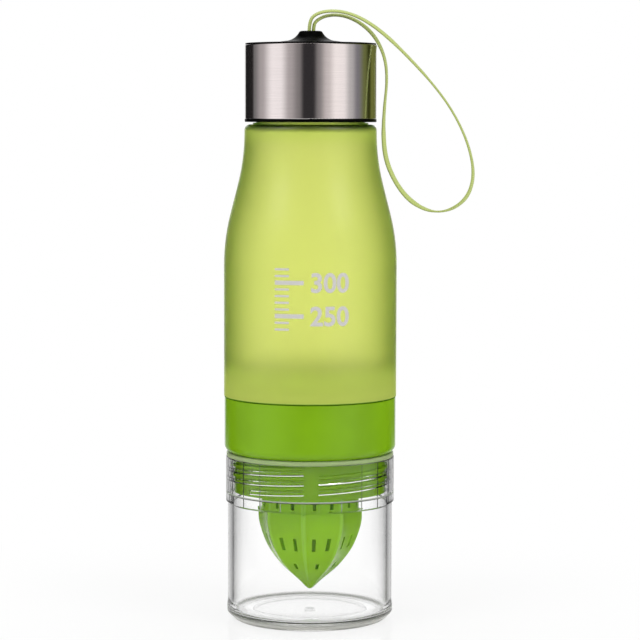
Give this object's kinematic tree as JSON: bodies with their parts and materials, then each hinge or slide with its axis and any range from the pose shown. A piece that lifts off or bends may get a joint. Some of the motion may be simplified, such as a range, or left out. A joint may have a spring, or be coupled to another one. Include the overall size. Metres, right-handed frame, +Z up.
{
  "type": "fruit infuser water bottle",
  "caption": "Water bottle in screwed parts: clear cup, slotted citrus reamer that opens into a frosted body, and a steel-clad lid with a wrist strap loop.",
  "frame": {"origin": "centre of the cup's foot, on the surface that the bottle stands on", "axes": "+Z up along the bottle's axis, the front faces -Y, the strap's loop hangs towards +X"},
  "size_m": [0.105, 0.0724, 0.2569],
  "materials": {
    "clear_cup": "clear, polished",
    "cup_seal": "satin, translucent",
    "juicer": "glossy, lightly see-through",
    "body_seal": "satin, translucent",
    "bottle_body": "frosted",
    "lid_seal": "satin, translucent",
    "lid_cap": "satin",
    "lid_steel_shell": "brushed round the axis",
    "lid_top_cover": "satin",
    "lanyard": "woven, satin",
    "lanyard_knot": "woven, satin"
  },
  "bodies": {
    "cup": {"clear_cup": "clear_cup"},
    "cup_seal": {"cup_seal": "cup_seal"},
    "juicer": {"juicer": "juicer"},
    "body_seal": {"body_seal": "body_seal"},
    "bottle": {"bottle_body": "bottle_body"},
    "lid_seal": {"lid_seal": "lid_seal"},
    "lid": {"lid_cap": "lid_cap", "lid_steel_shell": "lid_steel_shell", "lid_top_cover": "lid_top_cover", "lanyard": "lanyard", "lanyard_knot": "lanyard_knot"}
  },
  "joints": [
    {"name": "juicer_rise", "type": "slide", "parent": "cup", "child": "cup_seal", "axis": [0, 0, 1], "range_m": [0, 0.00912]},
    {"name": "juicer_turn", "type": "hinge", "parent": "cup_seal", "child": "juicer", "pos_m": [0, 0, 0.1], "axis": [0, 0, 1], "range_deg": [0, 400]},
    {"name": "bottle_rise", "type": "slide", "parent": "juicer", "child": "body_seal", "axis": [0, 0, 1], "range_m": [0, 0.00912]},
    {"name": "bottle_turn", "type": "hinge", "parent": "body_seal", "child": "bottle", "pos_m": [0, 0, 0.1], "axis": [0, 0, 1], "range_deg": [0, 400]},
    {"name": "lid_rise", "type": "slide", "parent": "bottle", "child": "lid_seal", "axis": [0, 0, 1], "range_m": [0, 0.00912]},
    {"name": "lid_turn", "type": "hinge", "parent": "lid_seal", "child": "lid", "pos_m": [0, 0, 0.1], "axis": [0, 0, 1], "range_deg": [0, 400]}
  ],
  "couplings": [
    {"joint": "juicer_rise", "follows": "juicer_turn", "m_per_rad": 0.0013051},
    {"joint": "bottle_rise", "follows": "bottle_turn", "m_per_rad": 0.0013051},
    {"joint": "lid_rise", "follows": "lid_turn", "m_per_rad": 0.0013051}
  ]
}
